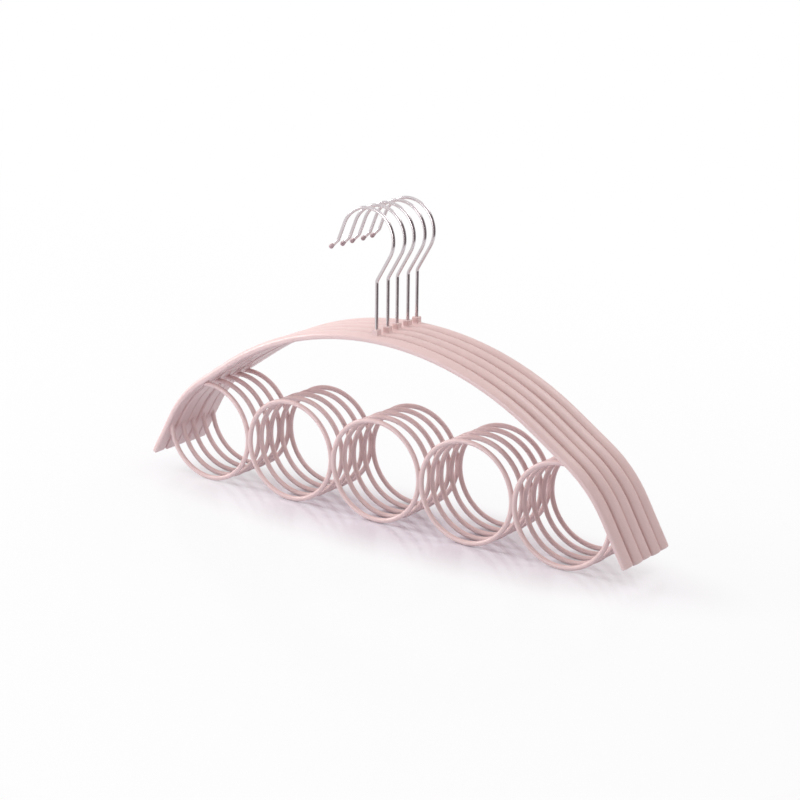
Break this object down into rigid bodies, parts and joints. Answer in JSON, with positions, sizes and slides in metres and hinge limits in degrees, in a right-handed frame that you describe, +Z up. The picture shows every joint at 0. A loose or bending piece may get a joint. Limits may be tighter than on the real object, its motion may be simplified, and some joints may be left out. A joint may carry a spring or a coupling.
{
  "type": "scarf hanger set",
  "caption": "Set of slim arched scarf hangers, nested, each a dip-coated strip over a row of wire rings with a swivelling chrome hook.",
  "frame": {"origin": "on the table under the middle of the nested set", "axes": "+X along the hangers, +Y from the front hanger to the back one, +Z up along the hooks' shanks"},
  "size_m": [0.4062, 0.0544, 0.2242],
  "materials": {
    "dip_coat": "soft satin vinyl dip coat, dusty pink",
    "core_steel": "drawn steel under the coat",
    "hook_chrome": "bright plated wire",
    "hook_bead": "dipped vinyl bead"
  },
  "bodies": {
    "hanger_1": {"hanger_1_arm": "dip_coat", "hanger_1_arm_core": "core_steel", "hanger_1_ring_1": "dip_coat", "hanger_1_ring_2": "dip_coat", "hanger_1_ring_3": "dip_coat", "hanger_1_ring_4": "dip_coat", "hanger_1_ring_5": "dip_coat", "hanger_1_ring_cores": "core_steel", "hanger_1_hook_socket": "dip_coat"},
    "hook_1": {"hanger_1_hook": "hook_chrome", "hanger_1_hook_tip": "hook_bead", "hanger_1_hook_collar": "core_steel"},
    "hanger_2": {"hanger_2_arm": "dip_coat", "hanger_2_arm_core": "core_steel", "hanger_2_ring_1": "dip_coat", "hanger_2_ring_2": "dip_coat", "hanger_2_ring_3": "dip_coat", "hanger_2_ring_4": "dip_coat", "hanger_2_ring_5": "dip_coat", "hanger_2_ring_cores": "core_steel", "hanger_2_hook_socket": "dip_coat"},
    "hook_2": {"hanger_2_hook": "hook_chrome", "hanger_2_hook_tip": "hook_bead", "hanger_2_hook_collar": "core_steel"},
    "hanger_3": {"hanger_3_arm": "dip_coat", "hanger_3_arm_core": "core_steel", "hanger_3_ring_1": "dip_coat", "hanger_3_ring_2": "dip_coat", "hanger_3_ring_3": "dip_coat", "hanger_3_ring_4": "dip_coat", "hanger_3_ring_5": "dip_coat", "hanger_3_ring_cores": "core_steel", "hanger_3_hook_socket": "dip_coat"},
    "hook_3": {"hanger_3_hook": "hook_chrome", "hanger_3_hook_tip": "hook_bead", "hanger_3_hook_collar": "core_steel"},
    "hanger_4": {"hanger_4_arm": "dip_coat", "hanger_4_arm_core": "core_steel", "hanger_4_ring_1": "dip_coat", "hanger_4_ring_2": "dip_coat", "hanger_4_ring_3": "dip_coat", "hanger_4_ring_4": "dip_coat", "hanger_4_ring_5": "dip_coat", "hanger_4_ring_cores": "core_steel", "hanger_4_hook_socket": "dip_coat"},
    "hook_4": {"hanger_4_hook": "hook_chrome", "hanger_4_hook_tip": "hook_bead", "hanger_4_hook_collar": "core_steel"},
    "hanger_5": {"hanger_5_arm": "dip_coat", "hanger_5_arm_core": "core_steel", "hanger_5_ring_1": "dip_coat", "hanger_5_ring_2": "dip_coat", "hanger_5_ring_3": "dip_coat", "hanger_5_ring_4": "dip_coat", "hanger_5_ring_5": "dip_coat", "hanger_5_ring_cores": "core_steel", "hanger_5_hook_socket": "dip_coat"},
    "hook_5": {"hanger_5_hook": "hook_chrome", "hanger_5_hook_tip": "hook_bead", "hanger_5_hook_collar": "core_steel"}
  },
  "joints": [
    {"name": "hook_1_swivel", "type": "hinge", "parent": "hanger_1", "child": "hook_1", "pos_m": [-0.0017, -0.02195, 0.14], "axis": [0, 0, 1], "range_deg": [-60, 60]},
    {"name": "hanger_2_draw_apart", "type": "slide", "parent": "hanger_1", "child": "hanger_2", "axis": [0, 1, 0], "range_m": [0, 0.06]},
    {"name": "hook_2_swivel", "type": "hinge", "parent": "hanger_2", "child": "hook_2", "pos_m": [-0.00017, -0.0109, 0.14], "axis": [0, 0, 1], "range_deg": [-60, 60]},
    {"name": "hanger_3_draw_apart", "type": "slide", "parent": "hanger_2", "child": "hanger_3", "axis": [0, 1, 0], "range_m": [0, 0.06]},
    {"name": "hook_3_swivel", "type": "hinge", "parent": "hanger_3", "child": "hook_3", "pos_m": [0.00009, 0, 0.14], "axis": [0, 0, 1], "range_deg": [-60, 60]},
    {"name": "hanger_4_draw_apart", "type": "slide", "parent": "hanger_3", "child": "hanger_4", "axis": [0, 1, 0], "range_m": [0, 0.06]},
    {"name": "hook_4_swivel", "type": "hinge", "parent": "hanger_4", "child": "hook_4", "pos_m": [0.00153, 0.01105, 0.14], "axis": [0, 0, 1], "range_deg": [-60, 60]},
    {"name": "hanger_5_draw_apart", "type": "slide", "parent": "hanger_4", "child": "hanger_5", "axis": [0, 1, 0], "range_m": [0, 0.06]},
    {"name": "hook_5_swivel", "type": "hinge", "parent": "hanger_5", "child": "hook_5", "pos_m": [0.0017, 0.02195, 0.14], "axis": [0, 0, 1], "range_deg": [-60, 60]}
  ],
  "couplings": [
    {"joint": "hook_2_swivel", "follows": "hook_1_swivel", "ratio": 1},
    {"joint": "hook_3_swivel", "follows": "hook_1_swivel", "ratio": 1},
    {"joint": "hook_4_swivel", "follows": "hook_1_swivel", "ratio": 1},
    {"joint": "hook_5_swivel", "follows": "hook_1_swivel", "ratio": 1}
  ]
}
